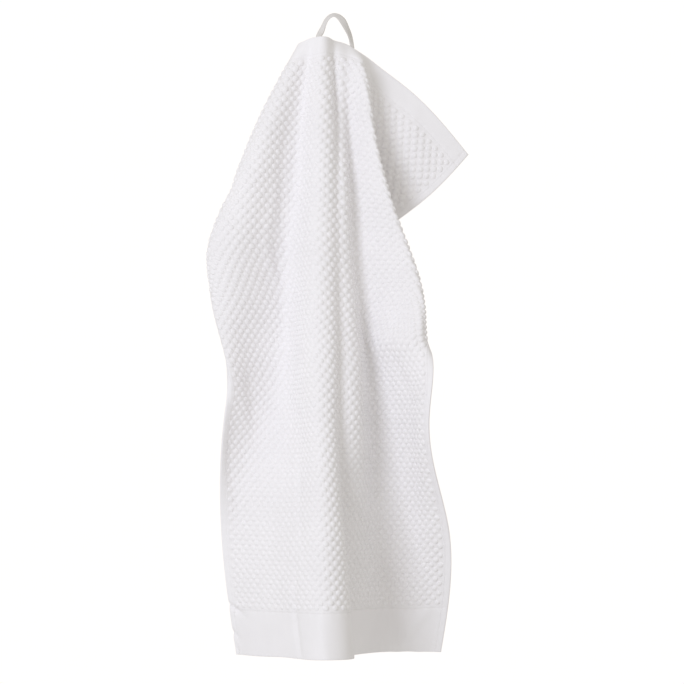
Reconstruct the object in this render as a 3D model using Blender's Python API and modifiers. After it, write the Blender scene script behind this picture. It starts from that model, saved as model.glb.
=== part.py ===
"""White pip-weave hand towel hanging by the sewn loop at its top hem.

The towel is one sheet of cloth. A place on it is named by two cut sizes: across,
from the middle of the cloth towards its right edge, and down, from the top hem.
The tables say where each fold lies in ten sections of the cloth, and a smooth
surface runs through them.
Sizes in the tables are millimetres. The origin is where a hook carries the loop.
"""

import bpy
import numpy as np

MM = 0.001

# The cloth and its tape
TOWEL_WIDTH = 400.0
TOWEL_LENGTH = 700.0
CLOTH_THICKNESS = 3.0
TAPE_WIDTH = 7.5
TAPE_THICKNESS = 1.5
TAPE_SEWN = 16.0
SEAM_GAP = 1.2

# Mesh steps
HEM_STEPS_DOWN = 4
HEM_STEPS_END = 24.0
CLOTH_STEPS_DOWN = 33
TAPE_STEPS_SEWN = 6
TAPE_STEPS_FREE = 30
TAPE_STEPS_WIDE = 3
CURVE_STEPS = 400

# Distance down the cloth of each column in the three fold tables
DOWN = (0, 24, 80, 172, 230, 290, 360, 430, 560, 700)

# Sideways place of each fold, to the right of the hook
SIDEWAYS = {
    "left edge": (41, 22, -21, -89, -126, -137, -122, -125, -129, -112),
    "left turn": (-27, -39, -66, -106, -134, -139, -121, -118, -117, -106),
    "left crest": (-40, -54, -84, -122, -143, -134, -113, -107, -104, -98),
    "left ridge": (-33, -44, -68, -97, -112, -117, -99, -95, -87, -84),
    "soft valley": (-27, -31, -38, -45, -51, -54, -60, -70, -60, -60),
    "left shoulder": (-21, -23, -27, -32, -36, -38, -41, -38, -32, -36),
    "central crest": (-14, -15, -16, -17, -16, -15, -14, -12, -10, -8),
    "crest edge": (-9, -8, -5, -4, -4, -3, -2, -2, 3, 11),
    "wall foot": (-2, -1, 2.5, 4, 4, 4, 5, 5, 11, 20),
    "step": (5, 6, 7, 9, 11, 14, 17, 18, 22, 30),
    "deep valley": (12, 13, 12.5, 17, 20, 27, 35, 41, 54, 65),
    "right crest": (26, 30, 39, 60, 83, 99, 97, 88, 99, 98),
    "crest back": (36, 38, 41, 53, 82, 98, 101, 94, 106, 104),
    "back valley": (47, 45, 38, 40, 77, 95, 104, 98, 113, 109),
    "flap middle": (88, 83, 66, 35, 67, 89, 106.5, 101.5, 121, 114),
    "right edge": (151, 136, 95, 31, 56, 82, 109, 105, 129, 121),
}

# Depth of each fold, away from the viewer
DEPTH = {
    "left edge": (48, 46, 41, 34, 26, 8, -2, -12, 26, 34),
    "left turn": (30, 29, 27, 22, 16, 0, -12, -5, 22, 27),
    "left crest": (9, 6, 1, -2, -3, -8, -9, 5, 14, 17),
    "left ridge": (3, -2, -13, -20, -19, -13, 3, 14, 0, 2),
    "soft valley": (0, 1, 2, 5, 9, 14, 18, 15, -27, -24),
    "left shoulder": (-4, -8, -14, -13, -15, -16, -18, -30, -62, -60),
    "central crest": (-9, -14, -24, -35, -42, -50, -62, -68, -79, -88),
    "crest edge": (-6, -11, -20, -33, -39, -46, -58, -63, -73, -80),
    "wall foot": (6, -1, -7, -26, -31, -36, -44, -46, -20, 4),
    "step": (10, -3, -8, -26, -28, -32, -41, -43, -8, 26),
    "deep valley": (13, -2, -3, -8, -6, -5, -1, 7, 40, 78),
    "right crest": (10, -9, -19, -28, -31, -42, -60, -28, 16, 66),
    "crest back": (13, 2, 1, 13, -10, -33, -62, -42, 10, 64),
    "back valley": (15, 9, 18, 30, 3, -27, -62, -47, 6, 63),
    "flap middle": (14, 13, 21, 36, 11, -20, -61.5, -51, 3, 61),
    "right edge": (14, 13, 23, 41, 18, -13, -60, -56, -1, 59),
}

# Height of each fold above the hook
HEIGHT = {
    "left edge": (-127, -141, -173, -231, -272, -321, -387, -456, -585, -723),
    "left turn": (-48, -74, -132, -214, -264, -320, -387, -456, -585, -723),
    "left crest": (-30.5, -55.5, -113, -205, -264, -320, -387, -456, -585, -723),
    "left ridge": (-27.5, -52.5, -110, -201, -262, -319, -387, -456, -585, -723),
    "soft valley": (-25, -50, -108, -199, -258, -317, -386, -456, -585, -722),
    "left shoulder": (-24, -48.5, -105, -196, -254, -314, -384, -454, -583, -722),
    "central crest": (-23.5, -47, -103, -195, -253, -313, -382, -452, -582, -721),
    "crest edge": (-24, -47, -103, -196, -254, -314, -383, -453, -582, -721),
    "wall foot": (-27, -46, -105, -197, -255, -315, -384, -454, -583, -722),
    "step": (-29, -47, -106, -198, -256, -316, -385, -455, -584, -722),
    "deep valley": (-31, -49, -107, -200, -258, -318, -387, -456, -585, -723),
    "right crest": (-40, -54, -114, -207, -265, -320, -386, -455, -584, -722),
    "crest back": (-46, -66, -134, -238, -277, -326, -386, -455, -583, -722),
    "back valley": (-54, -81, -155, -261, -288, -333, -386, -455, -583, -722),
    "flap middle": (-86, -116, -185, -269, -303, -342, -386, -455, -583, -722),
    "right edge": (-156, -173, -212, -276, -315, -352, -386, -455, -582, -722),
}

# Mesh steps across the cloth from each fold to the next one in the tables
STEPS_AFTER = {
    "left edge": 5,
    "left turn": 3,
    "left crest": 3,
    "left ridge": 4,
    "soft valley": 4,
    "left shoulder": 4,
    "central crest": 3,
    "crest edge": 4,
    "wall foot": 2,
    "step": 5,
    "deep valley": 6,
    "right crest": 3,
    "crest back": 2,
    "back valley": 3,
    "flap middle": 4,
}

# Free stretch of the loop's tape, from the left foot over the hook to the right foot.
# turn is how far the tape is turned from facing the viewer, in degrees.
LOOP_ROUTE = (
    {"x": -16.4, "y": 3.4, "z": -19.0, "turn": 25},
    {"x": -13.2, "y": 3.8, "z": -12.0, "turn": 42},
    {"x": -9.0, "y": 3.0, "z": -3.4, "turn": 50},
    {"x": -1.2, "y": 2.0, "z": 1.2, "turn": 50},
    {"x": 7.0, "y": 2.2, "z": -3.4, "turn": 22},
    {"x": 12.6, "y": 7.0, "z": -12.4, "turn": 30},
    {"x": 18.0, "y": 14.5, "z": -25.5, "turn": 50},
)
LEFT_FOOT_ACROSS = -35.0
RIGHT_FOOT_ACROSS = 21.5


def curve_through(knots, values, where):
    """Natural cubic through values at knots, read at each place in where."""
    knots = np.asarray(knots, float)
    values = np.asarray(values, float)
    steps = np.diff(knots)
    last = len(knots) - 1
    system = np.eye(last + 1)
    bend = np.zeros_like(values)
    slopes = np.diff(values, axis=0) / steps.reshape(-1, *[1] * (values.ndim - 1))
    for i in range(1, last):
        system[i, i - 1 : i + 2] = steps[i - 1], 2 * (steps[i - 1] + steps[i]), steps[i]
        bend[i] = 6 * (slopes[i] - slopes[i - 1])
    bend = np.linalg.solve(system, bend.reshape(last + 1, -1)).reshape(values.shape)
    where = np.atleast_1d(np.asarray(where, float))
    left = np.clip(np.searchsorted(knots, where) - 1, 0, last - 1)
    shape = (-1, *[1] * (values.ndim - 1))
    span = steps[left].reshape(shape)
    after = ((where - knots[left]) / steps[left]).reshape(shape)
    before = 1 - after
    curl = (before**3 - before) * bend[left] + (after**3 - after) * bend[left + 1]
    return before * values[left] + after * values[left + 1] + curl * span**2 / 6


def fold_points():
    """Fold points as one array: section, fold, then x, y and z."""
    rows = [[SIDEWAYS[fold], DEPTH[fold], HEIGHT[fold]] for fold in SIDEWAYS]
    return np.array(rows, float).transpose(2, 0, 1)


def travelled(points):
    """Distance along a row of points from the first to each."""
    return np.append(0.0, np.cumsum(np.linalg.norm(np.diff(points, axis=0), axis=1)))


def section_curve(folds, across):
    """One weft thread's curve through its fold points, the cloth spread evenly along it."""
    chord = travelled(folds)
    fine = np.linspace(0.0, chord[-1], CURVE_STEPS)
    curve = curve_through(chord, folds, fine)
    length = travelled(curve)
    share = 0.5 + np.asarray(across) / TOWEL_WIDTH
    return curve_through(chord, folds, np.interp(share * length[-1], length, fine))


def cloth_points(across, down):
    """Middle surface of the cloth: a row for each place down, a point for each across."""
    sections = curve_through(DOWN, fold_points(), down)
    return np.array([section_curve(folds, across) for folds in sections])


def points_along_folds(down):
    """Middle surface of the cloth in columns that run along its folds."""
    rows = []
    for folds in curve_through(DOWN, fold_points(), down):
        chord = travelled(folds)
        spans = zip(chord, chord[1:], STEPS_AFTER.values())
        places = [np.linspace(start, end, steps, endpoint=False) for start, end, steps in spans]
        rows.append(curve_through(chord, folds, np.append(np.concatenate(places), chord[-1])))
    return np.array(rows)


def cloth_back(across, down, distance):
    """Points at a distance behind the cloth's middle surface."""
    nudge = 1.0
    here = cloth_points(across, down)
    along_across = cloth_points(np.asarray(across) + nudge, down) - here
    along_down = cloth_points(across, np.asarray(down) + nudge) - here
    normal = np.cross(along_across, along_down)
    normal /= np.linalg.norm(normal, axis=2, keepdims=True)
    if normal[..., 1].mean() < 0:
        normal = -normal
    return here + normal * distance


def grid_object(name, points, thickness, collection):
    """A sheet through a grid of points, in millimetres, with its thickness."""
    rows, columns = points.shape[:2]
    corners = [tuple(point * MM) for point in points.reshape(-1, 3)]
    faces = []
    for i in range(rows - 1):
        for j in range(columns - 1):
            first = i * columns + j
            below = first + columns
            faces.append((first, below, below + 1, first + 1))
    mesh = bpy.data.meshes.new(name)
    mesh.from_pydata(corners, [], faces)
    mesh.update()
    mesh.shade_smooth()
    sheet = bpy.data.objects.new(name, mesh)
    collection.objects.link(sheet)
    solid = sheet.modifiers.new("thickness", "SOLIDIFY")
    solid.thickness = thickness * MM
    solid.offset = 0.0
    solid.use_even_offset = True
    split = sheet.modifiers.new("flat faces", "TRIANGULATE")
    split.quad_method = "SHORTEST_DIAGONAL"
    return sheet


def tape_points():
    """Middle surface of the loop: sewn foot, free arc over the hook, sewn foot."""
    wide = np.linspace(-TAPE_WIDTH / 2, TAPE_WIDTH / 2, TAPE_STEPS_WIDE + 1)
    behind = CLOTH_THICKNESS / 2 + SEAM_GAP + TAPE_THICKNESS / 2
    sewn = np.linspace(TAPE_SEWN, 1.0, TAPE_STEPS_SEWN)
    left = cloth_back(LEFT_FOOT_ACROSS + wide, sewn, behind)
    right = cloth_back(RIGHT_FOOT_ACROSS - wide, sewn, behind)[::-1]
    route = np.array([[stop["x"], stop["y"], stop["z"]] for stop in LOOP_ROUTE])
    turn = np.radians([stop["turn"] for stop in LOOP_ROUTE])[:, None]
    ends = np.array([left[-1].mean(axis=0), *route, right[0].mean(axis=0)])
    heading = ends[2:] - ends[:-2]
    heading[:, 1] = 0.0
    heading /= np.linalg.norm(heading, axis=1, keepdims=True)
    flat = np.stack([heading[:, 2], heading[:, 1], -heading[:, 0]], axis=1)
    edge_on = np.array([0.0, -1.0, 0.0])
    width = flat * np.cos(turn) + edge_on * np.sin(turn)
    free = route[:, None, :] + wide[None, :, None] * width[:, None, :]
    stations = np.concatenate([left, free, right])
    distance = travelled(stations.mean(axis=1))
    arc = np.linspace(distance[len(left) - 1], distance[-len(right)], TAPE_STEPS_FREE)
    where = np.concatenate([distance[: len(left)], arc[1:-1], distance[-len(right) :]])
    return curve_through(distance, stations, where)


def cotton(name, colour, roughness):
    """Plain cotton finish."""
    material = bpy.data.materials.new(name)
    material.use_nodes = True
    shader = material.node_tree.nodes["Principled BSDF"]
    shader.inputs["Base Color"].default_value = (*colour, 1.0)
    shader.inputs["Roughness"].default_value = roughness
    shader.inputs["Metallic"].default_value = 0.0
    return material


def towel_cloth(collection):
    """The whole towel: field, bottom band and hems in one sheet."""
    hem = np.linspace(0.0, HEM_STEPS_END, HEM_STEPS_DOWN, endpoint=False)
    down = np.append(hem, np.linspace(HEM_STEPS_END, TOWEL_LENGTH, CLOTH_STEPS_DOWN + 1))
    cloth = grid_object("towel_cloth", points_along_folds(down), CLOTH_THICKNESS, collection)
    cloth.data.materials.append(cotton("towel_cotton", (0.86, 0.86, 0.87), 0.9))


def hanging_loop(collection):
    """Woven tape sewn behind the top hem at both ends."""
    loop = grid_object("hanging_loop", tape_points(), TAPE_THICKNESS, collection)
    loop.data.materials.append(cotton("loop_tape", (0.84, 0.84, 0.85), 0.8))


def main():
    for old in list(bpy.data.objects):
        bpy.data.objects.remove(old, do_unlink=True)
    collection = bpy.data.collections.new("hand towel")
    bpy.context.scene.collection.children.link(collection)
    towel_cloth(collection)
    hanging_loop(collection)


main()
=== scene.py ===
import math

import bpy
import numpy as np
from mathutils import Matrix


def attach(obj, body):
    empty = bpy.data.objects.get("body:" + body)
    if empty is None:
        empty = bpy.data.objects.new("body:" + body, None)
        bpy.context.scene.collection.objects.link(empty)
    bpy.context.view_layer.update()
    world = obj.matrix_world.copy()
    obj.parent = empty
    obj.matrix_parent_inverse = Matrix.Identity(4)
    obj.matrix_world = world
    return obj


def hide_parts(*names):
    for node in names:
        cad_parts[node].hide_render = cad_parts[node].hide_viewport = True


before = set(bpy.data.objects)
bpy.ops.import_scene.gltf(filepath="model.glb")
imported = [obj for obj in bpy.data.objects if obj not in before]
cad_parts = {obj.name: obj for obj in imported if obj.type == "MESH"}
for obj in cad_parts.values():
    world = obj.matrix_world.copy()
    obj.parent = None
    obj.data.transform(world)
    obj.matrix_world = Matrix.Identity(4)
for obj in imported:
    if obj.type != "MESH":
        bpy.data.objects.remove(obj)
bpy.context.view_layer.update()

# White pip-weave hand towel hanging by the sewn loop at its top hem.
# A place on the cloth is named by two cut sizes in millimetres: across, from the middle of the
# cloth towards its right edge, and down, from the top hem. The origin is where a hook carries
# the loop. Sizes are millimetres up to the meshes, which are in metres.

MM = 0.001
SEED = 7

# The cloth
TOWEL_WIDTH = 400.0
TOWEL_LENGTH = 700.0
HALF_WIDTH = TOWEL_WIDTH / 2
CLOTH_THICKNESS = 3.0
TOP_HEM = 22.0
SIDE_HEM = 8.5
BAND_TOP = 646.0
GROUND_HALF = 0.4
HEM_HALF = 1.15
BAND_HALF = 0.75
HEM_EDGE = 1.2

# Seams: how far each stitch line lies from its cloth edge, and the groove it pulls
SIDE_SEAM = 7.0
TOP_SEAM = 19.6
BAND_SEAM = 52.0
SEAM_DEPTH = 0.4
SEAM_HALF = 0.8
SEAM_LEAST = -0.55
PUCKER_RISE = 0.22
PUCKER_HALF = 4.5
PUCKER_LENGTH = 11.0
PUCKER_SWAY = 1.7
PUCKER_SWAY_LENGTH = 23.0
STITCH_PITCH = 3.6
STITCH_LENGTH = 2.7
STITCH_RADIUS = 0.22
STITCH_LIFT = 0.55
STITCH_SKEW = 0.05
STITCH_LENGTHS = (0.92, 1.04)
STITCH_SIDES = 6
STITCH_ENDS_CLEAR = 3.0
STITCH_STOPS = (
    {"along": -0.5, "size": 0.35},
    {"along": -0.3, "size": 0.95},
    {"along": 0.3, "size": 0.95},
    {"along": 0.5, "size": 0.35},
)

# Pips of the weave; sizes are shares that each pip is drawn at
PIP_PITCH = 10.4
PIP_ROW = 5.5
PIP_HALF_WIDE = 3.7
PIP_HALF_TALL = 3.4
PIP_TOP = 2.0
PIP_SINK = 0.25
PIP_HEM_GAP = 0.5
PIP_SIZES = (0.9, 1.05)
PIP_TOPS = (0.88, 1.04)
PIP_WANDER = 0.12
PIP_RINGS = (
    {"reach": 0.45, "rise": 0.9, "points": 9},
    {"reach": 0.82, "rise": 0.55, "points": 14},
    {"reach": 1.0, "rise": 0.0, "points": 14},
)

# Distance down the cloth of each column in the three fold tables
DOWN = (0, 24, 80, 172, 230, 290, 360, 430, 560, 700)

# Sideways place of each fold, to the right of the hook
SIDEWAYS = {
    "left edge": (41, 22, -21, -89, -126, -137, -122, -125, -129, -112),
    "left turn": (-27, -39, -66, -106, -134, -139, -121, -118, -117, -106),
    "left crest": (-40, -54, -84, -122, -143, -134, -113, -107, -104, -98),
    "left ridge": (-33, -44, -68, -97, -112, -117, -99, -95, -87, -84),
    "soft valley": (-27, -31, -38, -45, -51, -54, -60, -70, -60, -60),
    "left shoulder": (-21, -23, -27, -32, -36, -38, -41, -38, -32, -36),
    "central crest": (-14, -15, -16, -17, -16, -15, -14, -12, -10, -8),
    "crest edge": (-9, -8, -5, -4, -4, -3, -2, -2, 3, 11),
    "wall foot": (-2, -1, 2.5, 4, 4, 4, 5, 5, 11, 20),
    "step": (5, 6, 7, 9, 11, 14, 17, 18, 22, 30),
    "deep valley": (12, 13, 12.5, 17, 20, 27, 35, 41, 54, 65),
    "right crest": (26, 30, 39, 60, 83, 99, 97, 88, 99, 98),
    "crest back": (36, 38, 41, 53, 82, 98, 101, 94, 106, 104),
    "back valley": (47, 45, 38, 40, 77, 95, 104, 98, 113, 109),
    "flap middle": (88, 83, 66, 35, 67, 89, 106.5, 101.5, 121, 114),
    "right edge": (151, 136, 95, 31, 56, 82, 109, 105, 129, 121),
}

# Depth of each fold, away from the viewer
DEPTH = {
    "left edge": (48, 46, 41, 34, 26, 8, -2, -12, 26, 34),
    "left turn": (30, 29, 27, 22, 16, 0, -12, -5, 22, 27),
    "left crest": (9, 6, 1, -2, -3, -8, -9, 5, 14, 17),
    "left ridge": (3, -2, -13, -20, -19, -13, 3, 14, 0, 2),
    "soft valley": (0, 1, 2, 5, 9, 14, 18, 15, -27, -24),
    "left shoulder": (-4, -8, -14, -13, -15, -16, -18, -30, -62, -60),
    "central crest": (-9, -14, -24, -35, -42, -50, -62, -68, -79, -88),
    "crest edge": (-6, -11, -20, -33, -39, -46, -58, -63, -73, -80),
    "wall foot": (6, -1, -7, -26, -31, -36, -44, -46, -20, 4),
    "step": (10, -3, -8, -26, -28, -32, -41, -43, -8, 26),
    "deep valley": (13, -2, -3, -8, -6, -5, -1, 7, 40, 78),
    "right crest": (10, -9, -19, -28, -31, -42, -60, -28, 16, 66),
    "crest back": (13, 2, 1, 13, -10, -33, -62, -42, 10, 64),
    "back valley": (15, 9, 18, 30, 3, -27, -62, -47, 6, 63),
    "flap middle": (14, 13, 21, 36, 11, -20, -61.5, -51, 3, 61),
    "right edge": (14, 13, 23, 41, 18, -13, -60, -56, -1, 59),
}

# Height of each fold above the hook
HEIGHT = {
    "left edge": (-127, -141, -173, -231, -272, -321, -387, -456, -585, -723),
    "left turn": (-48, -74, -132, -214, -264, -320, -387, -456, -585, -723),
    "left crest": (-30.5, -55.5, -113, -205, -264, -320, -387, -456, -585, -723),
    "left ridge": (-27.5, -52.5, -110, -201, -262, -319, -387, -456, -585, -723),
    "soft valley": (-25, -50, -108, -199, -258, -317, -386, -456, -585, -722),
    "left shoulder": (-24, -48.5, -105, -196, -254, -314, -384, -454, -583, -722),
    "central crest": (-23.5, -47, -103, -195, -253, -313, -382, -452, -582, -721),
    "crest edge": (-24, -47, -103, -196, -254, -314, -383, -453, -582, -721),
    "wall foot": (-27, -46, -105, -197, -255, -315, -384, -454, -583, -722),
    "step": (-29, -47, -106, -198, -256, -316, -385, -455, -584, -722),
    "deep valley": (-31, -49, -107, -200, -258, -318, -387, -456, -585, -723),
    "right crest": (-40, -54, -114, -207, -265, -320, -386, -455, -584, -722),
    "crest back": (-46, -66, -134, -238, -277, -326, -386, -455, -583, -722),
    "back valley": (-54, -81, -155, -261, -288, -333, -386, -455, -583, -722),
    "flap middle": (-86, -116, -185, -269, -303, -342, -386, -455, -583, -722),
    "right edge": (-156, -173, -212, -276, -315, -352, -386, -455, -582, -722),
}

# Soft creases: a trough where rise is negative, fading towards both ends of its bowed line
CREASE_BOW = 0.06
CREASE_TAPER = 0.7
CREASES = (
    {"name": "left panel, upper", "from": (-52, 60), "to": (-64, 262), "half": 6.0, "rise": -1.4},
    {"name": "left panel, mid", "from": (-70, 220), "to": (-104, 345), "half": 7.0, "rise": -1.6},
    {"name": "left panel, ridge", "from": (-72, 150), "to": (-92, 330), "half": 6.0, "rise": 1.8},
    {"name": "left of the crest", "from": (-74, 430), "to": (-69, 590), "half": 6.0, "rise": -2.0},
    {"name": "band, left", "from": (-82, 580), "to": (-84, 712), "half": 5.0, "rise": -2.4},
    {"name": "band, middle", "from": (-46, 640), "to": (-44, 712), "half": 6.0, "rise": 1.6},
    {"name": "band, right", "from": (184, 642), "to": (146, 708), "half": 6.0, "rise": 2.0},
    {"name": "band, far right", "from": (146, 648), "to": (184, 710), "half": 5.0, "rise": 1.6},
    {"name": "band, corner", "from": (-206, 636), "to": (-172, 656), "half": 2.6, "rise": -3.0},
    {"name": "band, edge dent", "from": (-204, 670), "to": (-188, 680), "half": 2.6, "rise": -2.4},
    {"name": "band, low dent", "from": (-197, 684), "to": (-193, 704), "half": 1.8, "rise": -1.4},
    {"name": "right panel, high", "from": (120, 300), "to": (165, 420), "half": 9.0, "rise": -2.0},
    {"name": "right panel, low", "from": (150, 470), "to": (128, 610), "half": 9.0, "rise": 2.0},
    {"name": "flap, upper", "from": (112, 8), "to": (182, 52), "half": 8.0, "rise": 1.4},
    {"name": "flap, lower", "from": (150, 66), "to": (196, 70), "half": 7.0, "rise": -1.6},
    {"name": "left side, high", "from": (-182, 360), "to": (-150, 470), "half": 9.0, "rise": 2.0},
    {"name": "left side, low", "from": (-186, 440), "to": (-168, 560), "half": 6.0, "rise": -1.6},
    {"name": "behind, left", "from": (-150, 90), "to": (-120, 210), "half": 8.0, "rise": -2.0},
    {"name": "behind, top left", "from": (-188, 30), "to": (-150, 120), "half": 8.0, "rise": 2.0},
    {"name": "top hem, left", "from": (-44, -10), "to": (-40, 40), "half": 4.0, "rise": 1.0},
    {"name": "top hem, right", "from": (18, 18), "to": (46, 26), "half": 3.0, "rise": -1.0},
)

# The loop's tape, from the left foot over the hook to the right foot
TAPE_WIDTH = 7.5
TAPE_THICKNESS = 1.5
TAPE_SEWN = 16.0
TAPE_POINTS_WIDE = 9
TAPE_POINTS_SEWN = 6
TAPE_POINTS_LONG = 180
TAPE_EDGE_POWER = 6
SEAM_GAP = 1.2
LEFT_FOOT_ACROSS = -35.0
RIGHT_FOOT_ACROSS = 21.5
LOOP_ROUTE = (
    {"x": -16.4, "y": 3.4, "z": -19.0, "turn": 25},
    {"x": -13.2, "y": 3.8, "z": -12.0, "turn": 42},
    {"x": -9.0, "y": 3.0, "z": -3.4, "turn": 50},
    {"x": -1.2, "y": 2.0, "z": 1.2, "turn": 50},
    {"x": 7.0, "y": 2.2, "z": -3.4, "turn": 22},
    {"x": 12.6, "y": 7.0, "z": -12.4, "turn": 30},
    {"x": 18.0, "y": 14.5, "z": -25.5, "turn": 50},
)

# Fine grid of the middle surface
GRID_STEP = 1.0
CURVE_STEPS = 600

# Grid lines of the ground cloth: over its rounded rim, its hems, its field and its seams
RIM_SHARES = (0.0, 0.12, 0.4, 0.85)
RIM_STEP = 1.2
FIRST_HEM_STEP = 2.4
LAST_HEM_STEP = 2.8
LEAST_HEM_LINES = 4
FIELD_STEP_ACROSS = 2.7
FIELD_STEP_DOWN = 2.9
SEAM_LINES = (-1.3, -0.65, 0.0, 0.65, 1.3)
LEAST_STEP = 0.45

# The photograph's view, and the floor far below it
CAMERA_DISTANCE = 5000.0
VIEW_WIDTH = 772.0
VIEW_CENTRE = (7.9, -368.0)
SENSOR = 36.0
FLOOR_HEIGHT = -1200.0
FLOOR_SIZE = 6000.0
FLOOR_COLOUR = (0.8, 0.8, 0.79)

# Cotton colours; a painted crevice shade multiplies the colour between the pips, darker where the
# cloth lies low
COTTON_LIGHT = (0.95, 0.937, 0.945)
COTTON_DARK = (0.92, 0.907, 0.915)
PAINTED_CREVICE_SHADE = (0.975, 0.97, 0.965)
PAINTED_SHADE_STOPS = (0.15, 0.45)
TONE_STOPS = (0.3, 0.7)
TONE_SCALE = 18.0
FIBRE_SCALE = 900.0
THREAD_SHARE = 0.5
WEFT_PERIOD = 0.9
WARP_PERIOD = 0.75
HERRINGBONE_PERIOD = 1.1
TAPE_LIGHT = (0.79, 0.77, 0.745)
TAPE_DARK = (0.73, 0.71, 0.685)

# Light: the room and the white field on its far side as shares of a white level, the field's
# edge as shares of straight ahead, and the lamp in metres and watts
ROOM_LEVEL = 0.615
ROOM_TINT = (1.03, 1.0, 0.95)
FAR_LEVEL = (1.05, 1.02, 1.0)
FAR_EDGE = (0.92, 0.985)
KEY_PLACE = (-1.55, -2.45, 0.4)
KEY_SIZE = 1.1
KEY_POWER = 28.5
KEY_TINT = (0.935, 0.975, 1.12)


def curve_through(knots, values, where):
    """Natural cubic through values at knots, read at each place in where."""
    knots = np.asarray(knots, float)
    values = np.asarray(values, float)
    steps = np.diff(knots)
    last = len(knots) - 1
    system = np.eye(last + 1)
    bend = np.zeros_like(values)
    slopes = np.diff(values, axis=0) / steps.reshape(-1, *[1] * (values.ndim - 1))
    for i in range(1, last):
        system[i, i - 1 : i + 2] = steps[i - 1], 2 * (steps[i - 1] + steps[i]), steps[i]
        bend[i] = 6 * (slopes[i] - slopes[i - 1])
    bend = np.linalg.solve(system, bend.reshape(last + 1, -1)).reshape(values.shape)
    where = np.atleast_1d(np.asarray(where, float))
    left = np.clip(np.searchsorted(knots, where) - 1, 0, last - 1)
    shape = (-1, *[1] * (values.ndim - 1))
    span = steps[left].reshape(shape)
    after = ((where - knots[left]) / steps[left]).reshape(shape)
    before = 1 - after
    curl = (before**3 - before) * bend[left] + (after**3 - after) * bend[left + 1]
    return before * values[left] + after * values[left + 1] + curl * span**2 / 6


def travelled(points):
    """Distance along a row of points from the first to each."""
    return np.append(0.0, np.cumsum(np.linalg.norm(np.diff(points, axis=0), axis=1)))


def section_curve(folds, across):
    """One weft thread's curve through its fold points, the cloth spread evenly along it."""
    chord = travelled(folds)
    fine = np.linspace(0.0, chord[-1], CURVE_STEPS)
    curve = curve_through(chord, folds, fine)
    length = travelled(curve)
    share = 0.5 + across / TOWEL_WIDTH
    return curve_through(chord, folds, np.interp(share * length[-1], length, fine))


def ease(x):
    """Smooth step from 0 to 1 as x goes from 0 to 1."""
    x = np.clip(x, 0.0, 1.0)
    return x * x * (3 - 2 * x)


def crease_rise(across, down):
    """How far the soft creases lift the middle surface towards the viewer at each cut place."""
    rise = np.zeros_like(across)
    for crease in CREASES:
        start, end = np.array(crease["from"], float), np.array(crease["to"], float)
        length = np.linalg.norm(end - start)
        way = (end - start) / length
        along = (across - start[0]) * way[0] + (down - start[1]) * way[1]
        off = (across - start[0]) * way[1] - (down - start[1]) * way[0]
        share = np.clip(along / length, 0.0, 1.0)
        bend = off + CREASE_BOW * length * np.sin(math.pi * share)
        taper = np.sin(math.pi * share) ** CREASE_TAPER
        rise += crease["rise"] * taper * np.exp(-((bend / crease["half"]) ** 2))
    return rise


class Drape:
    """The towel's middle surface, read at any cut place."""

    def __init__(self):
        self.across = np.arange(-HALF_WIDTH, HALF_WIDTH + GRID_STEP / 2, GRID_STEP)
        self.down = np.arange(0.0, TOWEL_LENGTH + GRID_STEP / 2, GRID_STEP)
        rows = [[SIDEWAYS[fold], DEPTH[fold], HEIGHT[fold]] for fold in SIDEWAYS]
        folds = np.array(rows, float).transpose(2, 0, 1)
        sections = curve_through(DOWN, folds, self.down)
        self.points = np.array([section_curve(section, self.across) for section in sections])
        self.normals = self.front_normals()
        rise = crease_rise(*np.meshgrid(self.across, self.down))
        self.points += self.normals * rise[..., None]
        self.normals = self.front_normals()

    def front_normals(self):
        """Unit normals towards the side of the cloth that shows."""
        normals = np.cross(np.gradient(self.points, axis=0), np.gradient(self.points, axis=1))
        return normals / np.linalg.norm(normals, axis=2, keepdims=True)

    def at(self, across, down, lift):
        """Points at a distance in front of the middle surface; behind it where lift is negative."""
        column = np.clip((across + HALF_WIDTH) / GRID_STEP, 0, len(self.across) - 1.001)
        row = np.clip(down / GRID_STEP, 0, len(self.down) - 1.001)
        j, i = column.astype(int), row.astype(int)
        s, t = (column - j)[..., None], (row - i)[..., None]
        found = []
        for field in (self.points, self.normals):
            upper = field[i, j] * (1 - s) + field[i, j + 1] * s
            lower = field[i + 1, j] * (1 - s) + field[i + 1, j + 1] * s
            found.append(upper * (1 - t) + lower * t)
        normal = found[1] / np.linalg.norm(found[1], axis=-1, keepdims=True)
        return found[0] + normal * np.asarray(lift)[..., None]


def mesh_object(name, points, faces, places=None):
    """A smooth-shaded object from points in millimetres; places are its cut places."""
    mesh = bpy.data.meshes.new(name)
    mesh.from_pydata((points * MM).tolist(), [], faces)
    mesh.update()
    mesh.shade_smooth()
    if places is not None:
        layer = mesh.attributes.new("cut_place", "FLOAT_VECTOR", "POINT")
        layer.data.foreach_set("vector", places.astype(np.float32).ravel())
    piece = bpy.data.objects.new(name, mesh)
    bpy.context.scene.collection.objects.link(piece)
    return piece


def half_thickness(across, down):
    """How far the ground cloth stands from its middle: thin in the field, thick in hems."""
    from_side = HALF_WIDTH - np.abs(across)
    inner = ease((from_side - SIDE_HEM) / HEM_EDGE)
    field = ease((down - TOP_HEM) / HEM_EDGE) * ease((BAND_TOP - down) / HEM_EDGE)
    band = ease((down - BAND_TOP) / HEM_EDGE)
    middle = HEM_HALF + (GROUND_HALF - HEM_HALF) * field + (BAND_HALF - HEM_HALF) * band
    return HEM_HALF + (middle - HEM_HALF) * inner + seam_pull(across, down)


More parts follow.
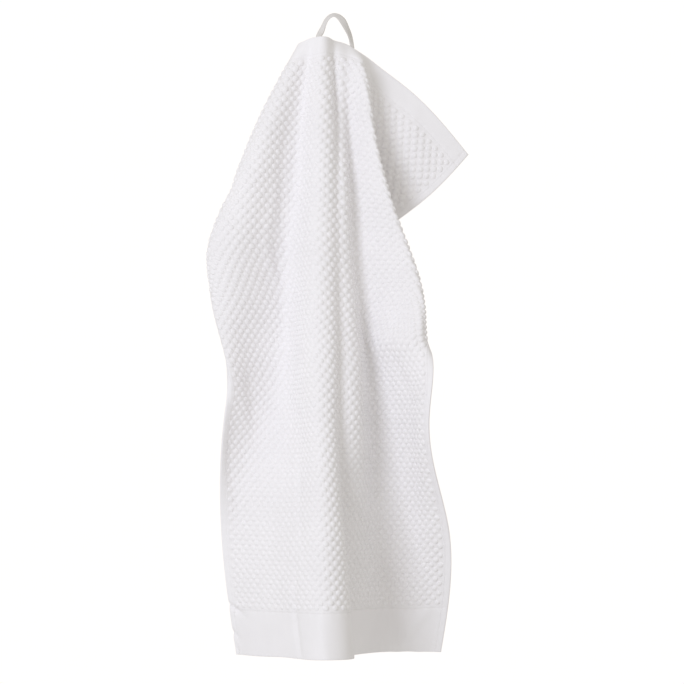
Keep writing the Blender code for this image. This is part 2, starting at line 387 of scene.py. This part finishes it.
def seam_pull(across, down):
    """The groove and the small puckers that the stitching pulls into the hems."""
    from_side = HALF_WIDTH - np.abs(across)
    from_end = TOWEL_LENGTH - down
    pull = np.zeros_like(across)
    side = (from_side - SIDE_SEAM, down)
    top = (down - TOP_SEAM, across)
    band = (from_end - BAND_SEAM, across)
    for off, along in (side, top, band):
        groove = np.exp(-((off / SEAM_HALF) ** 2))
        beside = np.exp(-((off / PUCKER_HALF) ** 2))
        sway = PUCKER_SWAY * np.sin(along / PUCKER_SWAY_LENGTH)
        wave = np.sin(2 * math.pi * along / PUCKER_LENGTH + sway)
        pull += PUCKER_RISE * beside * wave - SEAM_DEPTH * groove
    return np.maximum(pull, SEAM_LEAST)


def ground_lines(length, start_hem, end_hem, seams, field_step):
    """Places of grid lines from edge to edge, close together on hems, seams and edges."""
    rim = np.array(RIM_SHARES) * HEM_HALF
    start = rim[-1] + RIM_STEP
    first_count = max(LEAST_HEM_LINES, int(start_hem / FIRST_HEM_STEP))
    last_count = max(LEAST_HEM_LINES, int(end_hem / LAST_HEM_STEP))
    first = np.linspace(start, start_hem + HEM_EDGE, first_count)
    last = length - np.linspace(start, end_hem + HEM_EDGE, last_count)[::-1]
    count = int((last[0] - first[-1]) / field_step)
    field = np.linspace(first[-1], last[0], count + 1)[1:-1]
    fine = np.concatenate([seam + np.array(SEAM_LINES) for seam in seams])
    coarse = np.concatenate([first, field, last])
    clear = np.abs(coarse[:, None] - fine[None, :]).min(axis=1) > LEAST_STEP
    middle = np.sort(np.concatenate([coarse[clear], fine]))
    return np.concatenate([rim, middle, length - rim[::-1]])


def edge_round(across, down):
    """From 0 at the cloth's very edge to 1 a half thickness inside it, as a rounded edge."""
    near = np.minimum(HALF_WIDTH - np.abs(across), np.minimum(down, TOWEL_LENGTH - down))
    inside = np.clip(near / HEM_HALF, 0.0, 1.0)
    return np.sqrt(1 - (1 - inside) ** 2)


def ground_cloth(drape):
    """The towel's ground weave with its hems and band, as one closed sheet."""
    side_seams = (SIDE_SEAM, TOWEL_WIDTH - SIDE_SEAM)
    across = ground_lines(TOWEL_WIDTH, SIDE_HEM, SIDE_HEM, side_seams, FIELD_STEP_ACROSS)
    across -= HALF_WIDTH
    end_seams = (TOP_SEAM, TOWEL_LENGTH - BAND_SEAM)
    band = TOWEL_LENGTH - BAND_TOP
    down = ground_lines(TOWEL_LENGTH, TOP_HEM, band, end_seams, FIELD_STEP_DOWN)
    grid_across, grid_down = np.meshgrid(across, down)
    lift = half_thickness(grid_across, grid_down) * edge_round(grid_across, grid_down)
    rows, columns = grid_across.shape
    front = drape.at(grid_across, grid_down, lift).reshape(-1, 3)
    back = drape.at(grid_across, grid_down, -lift).reshape(-1, 3)
    index = np.arange(rows * columns).reshape(rows, columns)
    inner = np.zeros((rows, columns), bool)
    inner[1:-1, 1:-1] = True
    behind = index.copy()
    behind[inner] = rows * columns + np.arange(inner.sum())
    corners = (index[:-1, :-1], index[1:, :-1], index[1:, 1:], index[:-1, 1:])
    faces = np.stack(corners, axis=-1).reshape(-1, 4)
    corners = (behind[:-1, :-1], behind[:-1, 1:], behind[1:, 1:], behind[1:, :-1])
    faces = np.concatenate([faces, np.stack(corners, axis=-1).reshape(-1, 4)])
    places = np.stack([grid_across, grid_down, lift], axis=-1).reshape(-1, 3)
    keep = inner.ravel()
    points = np.concatenate([front, back[keep]])
    places = np.concatenate([places, places[keep]])
    return mesh_object("towel_ground", points, faces.tolist(), places)


def pip_template():
    """One pip as a low dome: places in its own unit circle, rises, and triangles."""
    places = [(0.0, 0.0)]
    rises = [1.0]
    faces = []
    inner = [0]
    for ring in PIP_RINGS:
        turn = np.arange(ring["points"]) / ring["points"] * 2 * math.pi
        first = len(places)
        places += [(ring["reach"] * math.cos(a), ring["reach"] * math.sin(a)) for a in turn]
        rises += [ring["rise"]] * ring["points"]
        outer = list(range(first, first + ring["points"]))
        faces += ring_faces(inner, outer)
        inner = outer
    return np.array(places), np.array(rises), np.array(faces)


def ring_faces(inner, outer):
    """Triangles between two rings of points, or from a middle point to a ring."""
    faces = []
    count, total = len(outer), len(inner)
    if total == 1:
        return [(inner[0], outer[k], outer[(k + 1) % count]) for k in range(count)]
    i = k = 0
    while i < total or k < count:
        if k < count and (i == total or (k + 0.5) / count <= (i + 0.5) / total):
            faces.append((inner[i % total], outer[k % count], outer[(k + 1) % count]))
            k += 1
        else:
            faces.append((inner[i % total], outer[k % count], inner[(i + 1) % total]))
            i += 1
    return faces


def pip_centres():
    """Cut places of the pips' middles, in staggered rows."""
    centres = []
    first = TOP_HEM + PIP_HEM_GAP + PIP_HALF_TALL
    count = int((BAND_TOP - PIP_HEM_GAP - PIP_HALF_TALL - first) / PIP_ROW) + 1
    reach = HALF_WIDTH - SIDE_HEM - PIP_HALF_WIDE
    enough = int(TOWEL_WIDTH / PIP_PITCH)
    for row in range(count):
        shift = PIP_PITCH / 2 * (row % 2)
        across = np.arange(-enough, enough + 1) * PIP_PITCH + shift
        across = across[np.abs(across) < reach]
        centres.append(np.stack([across, np.full_like(across, first + row * PIP_ROW)], axis=1))
    return np.concatenate(centres)


def pips(drape, name, centres, side, rng):
    """Raised pips on one face of the cloth; side is 1 in front and -1 behind."""
    places, rises, faces = pip_template()
    count = len(centres)
    wide = PIP_HALF_WIDE * rng.uniform(*PIP_SIZES, count)
    tall = PIP_HALF_TALL * rng.uniform(*PIP_SIZES, count)
    centres = centres + rng.normal(0.0, PIP_WANDER, (count, 2))
    top = PIP_TOP * rng.uniform(*PIP_TOPS, count)
    across = centres[:, :1] + wide[:, None] * places[None, :, 0]
    down = centres[:, 1:] + tall[:, None] * places[None, :, 1]
    foot = GROUND_HALF - PIP_SINK
    lift = foot + (top[:, None] - foot) * rises[None, :]
    points = drape.at(across, down, side * lift).reshape(-1, 3)
    if side > 0:
        faces = faces[:, ::-1]
    starts = np.arange(count)[:, None, None] * len(places)
    faces = (faces[None] + starts).reshape(-1, 3)
    cut = np.stack([across, down, lift], axis=-1).reshape(-1, 3)
    return mesh_object(name, points, faces.tolist(), cut)


def stitch_template():
    """One stitch as a bead of thread: places along, across and above its seam, and faces."""
    turn = np.arange(STITCH_SIDES) / STITCH_SIDES * 2 * math.pi
    ring = np.stack([np.cos(turn), np.sin(turn)], axis=1)
    places = [(stop["along"], *(spot * stop["size"])) for stop in STITCH_STOPS for spot in ring]
    faces = []
    for step in range(len(STITCH_STOPS) - 1):
        first = step * STITCH_SIDES
        for k in range(STITCH_SIDES):
            near, far = first + k, first + (k + 1) % STITCH_SIDES
            faces.append((near, far, far + STITCH_SIDES))
            faces.append((near, far + STITCH_SIDES, near + STITCH_SIDES))
    last = len(places) - STITCH_SIDES
    for k in range(1, STITCH_SIDES - 1):
        faces += [(0, k + 1, k), (last, last + k, last + k + 1)]
    return np.array(places), np.array(faces)


def stitches(drape, rng):
    """Machine stitching along the hems and the band, on both faces of the cloth."""
    places, faces = stitch_template()
    down_side = np.arange(STITCH_ENDS_CLEAR, TOWEL_LENGTH - STITCH_ENDS_CLEAR, STITCH_PITCH)
    over_end = np.arange(SIDE_SEAM, TOWEL_WIDTH - SIDE_SEAM, STITCH_PITCH) - HALF_WIDTH
    runs = []
    for seam in (SIDE_SEAM - HALF_WIDTH, HALF_WIDTH - SIDE_SEAM):
        runs.append((np.full_like(down_side, seam), down_side, (0.0, 1.0)))
    for seam in (TOP_SEAM, TOWEL_LENGTH - BAND_SEAM):
        runs.append((over_end, np.full_like(over_end, seam), (1.0, 0.0)))
    points, count = [], 0
    for across, down, way in runs:
        for side in (1, -1):
            skew = rng.normal(0.0, STITCH_SKEW, (len(across), 1))
            size = rng.uniform(*STITCH_LENGTHS, (len(across), 1))
            along = places[None, :, 0] * STITCH_LENGTH * size
            over = places[None, :, 1] * STITCH_RADIUS + skew * along
            rise = places[None, :, 2] * STITCH_RADIUS * np.ones_like(along)
            at_across = across[:, None] + way[0] * along + way[1] * over
            at_down = down[:, None] + way[1] * along + way[0] * over
            surface = half_thickness(across, down)[:, None] + STITCH_LIFT * STITCH_RADIUS
            points.append(drape.at(at_across, at_down, side * (surface + rise)).reshape(-1, 3))
            count += len(across)
    starts = np.arange(count)[:, None, None] * len(places)
    faces = (faces[None] + starts).reshape(-1, 3)
    return mesh_object("hem_stitches", np.concatenate(points), faces.tolist())


def tape_stations(drape):
    """Middle surface of the loop: sewn foot, free arc over the hook, sewn foot."""
    wide = np.linspace(-TAPE_WIDTH / 2, TAPE_WIDTH / 2, TAPE_POINTS_WIDE)
    behind = CLOTH_THICKNESS / 2 + SEAM_GAP + TAPE_THICKNESS / 2
    sewn = np.linspace(TAPE_SEWN, 1.0, TAPE_POINTS_SEWN)
    feet = []
    for foot, way in ((LEFT_FOOT_ACROSS, 1), (RIGHT_FOOT_ACROSS, -1)):
        across, down = np.meshgrid(foot + way * wide, sewn)
        feet.append(drape.at(across, down, np.full_like(down, -behind)))
    left, right = feet[0], feet[1][::-1]
    route = np.array([[stop["x"], stop["y"], stop["z"]] for stop in LOOP_ROUTE])
    turn = np.radians([stop["turn"] for stop in LOOP_ROUTE])[:, None]
    ends = np.array([left[-1].mean(axis=0), *route, right[0].mean(axis=0)])
    heading = ends[2:] - ends[:-2]
    heading[:, 1] = 0.0
    heading /= np.linalg.norm(heading, axis=1, keepdims=True)
    flat = np.stack([heading[:, 2], heading[:, 1], -heading[:, 0]], axis=1)
    edge_on = np.array([0.0, -1.0, 0.0])
    width = flat * np.cos(turn) + edge_on * np.sin(turn)
    free = route[:, None, :] + wide[None, :, None] * width[:, None, :]
    stations = np.concatenate([left, free, right])
    distance = travelled(stations.mean(axis=1))
    where = np.linspace(0.0, distance[-1], TAPE_POINTS_LONG)
    return curve_through(distance, stations, where)


def hanging_loop(drape):
    """Woven tape of the loop, closed all round."""
    middle = tape_stations(drape)
    rows, columns = middle.shape[:2]
    along = np.gradient(middle, axis=0)
    over = np.gradient(middle, axis=1)
    normal = np.cross(along, over)
    normal /= np.linalg.norm(normal, axis=2, keepdims=True)
    share = np.linspace(-1.0, 1.0, columns)
    rise = np.sqrt(np.clip(1 - share**TAPE_EDGE_POWER, 0.0, 1.0)) * TAPE_THICKNESS / 2
    front = middle + normal * rise[None, :, None]
    back = middle - normal * rise[None, :, None]
    ring = np.concatenate([front, back[:, -2:0:-1]], axis=1)
    around = ring.shape[1]
    width = np.linspace(-TAPE_WIDTH / 2, TAPE_WIDTH / 2, columns)
    width = np.concatenate([width, width[-2:0:-1]])
    length = travelled(middle[:, columns // 2])
    places = np.stack([*np.meshgrid(width, length), np.full((rows, around), PIP_TOP)], axis=-1)
    index = np.arange(rows * around).reshape(rows, around)
    after = np.roll(index, -1, axis=1)
    quads = np.stack([index[:-1], after[:-1], after[1:], index[1:]], axis=-1).reshape(-1, 4)
    faces = quads.tolist() + [index[0][::-1].tolist(), index[-1].tolist()]
    return mesh_object("loop_tape", ring.reshape(-1, 3), faces, places.reshape(-1, 3))


def principled(name, colour, roughness, sheen):
    """A cotton material: its node tree and its Principled shader."""
    material = bpy.data.materials.new(name)
    material.use_nodes = True
    tree = material.node_tree
    shader = tree.nodes["Principled BSDF"]
    shader.inputs["Base Color"].default_value = (*colour, 1.0)
    shader.inputs["Roughness"].default_value = roughness
    shader.inputs["Sheen Weight"].default_value = sheen
    shader.inputs["Sheen Roughness"].default_value = 0.5
    return material, tree, shader


def wave_height(tree, source, period, turned):
    """Fine threads as a wave over the cloth; turned is true for the weft."""
    wave = tree.nodes.new("ShaderNodeTexWave")
    wave.bands_direction = "Y" if turned else "X"
    wave.inputs["Scale"].default_value = 2 * math.pi / (20 * period)
    wave.inputs["Distortion"].default_value = 0.6
    wave.inputs["Detail Scale"].default_value = 0.8
    tree.links.new(source, wave.inputs["Vector"])
    return wave.outputs["Fac"]


def math_node(tree, operation, first, second):
    """A maths node on two sockets or numbers."""
    node = tree.nodes.new("ShaderNodeMath")
    node.operation = operation
    for socket, value in zip(node.inputs, (first, second)):
        if isinstance(value, (int, float)):
            socket.default_value = value
        else:
            tree.links.new(value, socket)
    return node.outputs["Value"]


def colour_ramp(tree, source, stops):
    """Colours by a varying number: each stop is a place on the ramp and its colour."""
    ramp = tree.nodes.new("ShaderNodeValToRGB")
    for element, (place, colour) in zip(ramp.color_ramp.elements, stops):
        element.position = place
        element.color = (*colour, 1)
    tree.links.new(source, ramp.inputs["Fac"])
    return ramp.outputs["Color"]


def cotton_material(name, light, dark, crevice_shade, threads):
    """Woven white cotton: thread bump, loose fibres, uneven tone, and painted shade that dims the
    low places between the pips.
    """
    material, tree, shader = principled(name, light, 0.92, 0.15)
    nodes, links = tree.nodes, tree.links
    place = nodes.new("ShaderNodeTexCoord").outputs["Object"]
    tone = nodes.new("ShaderNodeTexNoise")
    tone.inputs["Scale"].default_value = TONE_SCALE
    tone.inputs["Detail"].default_value = 4.0
    links.new(place, tone.inputs["Vector"])
    cloth = colour_ramp(tree, tone.outputs["Fac"], zip(TONE_STOPS, (dark, light)))
    cut = nodes.new("ShaderNodeAttribute")
    cut.attribute_name = "cut_place"
    axes = nodes.new("ShaderNodeSeparateXYZ")
    links.new(cut.outputs["Vector"], axes.inputs["Vector"])
    # Painted shade: the cotton colour is dimmed where the cloth lies low, between the pips and on
    # the ground weave
    height = math_node(tree, "DIVIDE", axes.outputs["Z"], PIP_TOP)
    low = colour_ramp(tree, height, zip(PAINTED_SHADE_STOPS, (crevice_shade, (1.0, 1.0, 1.0))))
    mix = nodes.new("ShaderNodeMixRGB")
    mix.blend_type = "MULTIPLY"
    mix.inputs["Fac"].default_value = 1.0
    links.new(cloth, mix.inputs["Color1"])
    links.new(low, mix.inputs["Color2"])
    links.new(mix.outputs["Color"], shader.inputs["Base Color"])
    fibre = nodes.new("ShaderNodeTexNoise")
    fibre.inputs["Scale"].default_value = FIBRE_SCALE
    fibre.inputs["Detail"].default_value = 3.0
    links.new(place, fibre.inputs["Vector"])
    weave = threads(tree, cut.outputs["Vector"])
    relief = math_node(tree, "MULTIPLY_ADD", weave, THREAD_SHARE)
    links.new(fibre.outputs["Fac"], relief.node.inputs[2])
    bump = nodes.new("ShaderNodeBump")
    bump.inputs["Strength"].default_value = 0.3
    bump.inputs["Distance"].default_value = 0.0002
    links.new(relief, bump.inputs["Height"])
    links.new(bump.outputs["Normal"], shader.inputs["Normal"])
    return material


def plain_weave(tree, place):
    """Threads over and under both ways."""
    weft = wave_height(tree, place, WEFT_PERIOD, True)
    warp = wave_height(tree, place, WARP_PERIOD, False)
    return math_node(tree, "MAXIMUM", weft, warp)


def herringbone(tree, place):
    """Slanting threads that turn back along the tape's middle."""
    axes = tree.nodes.new("ShaderNodeSeparateXYZ")
    tree.links.new(place, axes.inputs["Vector"])
    off = math_node(tree, "ABSOLUTE", axes.outputs["X"], 0.0)
    slant = math_node(tree, "ADD", axes.outputs["Y"], off)
    turn = math_node(tree, "MULTIPLY", slant, 2 * math.pi / HERRINGBONE_PERIOD)
    return math_node(tree, "SINE", turn, 0.0)


def camera():
    """The photograph's view: square on, far away."""
    data = bpy.data.cameras.new("photo_view")
    data.sensor_width = SENSOR
    data.lens = SENSOR * CAMERA_DISTANCE / VIEW_WIDTH
    data.clip_end = 100.0
    eye = bpy.data.objects.new("photo_view", data)
    eye.location = (VIEW_CENTRE[0] * MM, -CAMERA_DISTANCE * MM, VIEW_CENTRE[1] * MM)
    eye.rotation_euler = (math.pi / 2, 0.0, 0.0)
    bpy.context.scene.collection.objects.link(eye)
    bpy.context.scene.camera = eye


def studio_floor():
    """The pale floor under the towel."""
    centre = (0.0, 0.0, FLOOR_HEIGHT * MM)
    bpy.ops.mesh.primitive_plane_add(size=FLOOR_SIZE * MM, location=centre)
    plane = bpy.context.object
    plane.name = "studio_floor"
    material, _, _ = principled("studio_floor", FLOOR_COLOUR, 0.8, 0.0)
    plane.data.materials.append(material)


def key_light():
    """A large square lamp at the upper left, facing the towel's middle."""
    data = bpy.data.lights.new("key_light", "AREA")
    data.shape = "SQUARE"
    data.size = KEY_SIZE
    data.energy = KEY_POWER
    data.color = KEY_TINT
    lamp = bpy.data.objects.new("key_light", data)
    lamp.location = KEY_PLACE
    way = np.array((0.0, 0.0, VIEW_CENTRE[1] * MM)) - np.array(KEY_PLACE)
    lamp.rotation_euler = (
        math.acos(-way[2] / np.linalg.norm(way)),
        0.0,
        math.atan2(way[1], way[0]) - math.pi / 2,
    )
    bpy.context.scene.collection.objects.link(lamp)


def soft_sky():
    """A pale room with a white lit field on its far side, as the photograph's background."""
    world = bpy.data.worlds.new("studio")
    world.use_nodes = True
    nodes, links = world.node_tree.nodes, world.node_tree.links
    way = nodes.new("ShaderNodeTexCoord")
    axes = nodes.new("ShaderNodeSeparateXYZ")
    level = nodes.new("ShaderNodeValToRGB")
    level.color_ramp.interpolation = "EASE"
    level.color_ramp.elements[0].position = FAR_EDGE[0]
    level.color_ramp.elements[0].color = (*[ROOM_LEVEL * tint for tint in ROOM_TINT], 1)
    level.color_ramp.elements[1].position = FAR_EDGE[1]
    level.color_ramp.elements[1].color = (*FAR_LEVEL, 1)
    links.new(way.outputs["Generated"], axes.inputs["Vector"])
    links.new(axes.outputs["Y"], level.inputs["Fac"])
    links.new(level.outputs["Color"], nodes["Background"].inputs["Color"])
    bpy.context.scene.world = world


def studio():
    """Camera, pale floor and soft light from the upper left."""
    camera()
    studio_floor()
    key_light()
    soft_sky()
    bpy.context.scene.view_settings.view_transform = "Standard"


def main():
    drape = Drape()
    rng = np.random.default_rng(SEED)
    cotton = cotton_material("white_cotton", COTTON_LIGHT, COTTON_DARK, PAINTED_CREVICE_SHADE, plain_weave)
    tape = cotton_material("loop_tape", TAPE_LIGHT, TAPE_DARK, PAINTED_CREVICE_SHADE, herringbone)
    ground = ground_cloth(drape)
    centres = pip_centres()
    middle = np.median(centres[:, 1])
    pieces = [ground]
    for name, side in (("front", 1), ("back", -1)):
        upper = centres[centres[:, 1] < middle]
        lower = centres[centres[:, 1] >= middle]
        pieces.append(pips(drape, f"pips_{name}_upper", upper, side, rng))
        pieces.append(pips(drape, f"pips_{name}_lower", lower, side, rng))
    pieces.append(stitches(drape, rng))
    loop = hanging_loop(drape)
    loop.data.materials.append(tape)
    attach(loop, "root")
    for piece in pieces:
        piece.data.materials.append(cotton)
        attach(piece, "root")
        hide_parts("towel_cloth")
    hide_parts("hanging_loop")
    studio()


main()
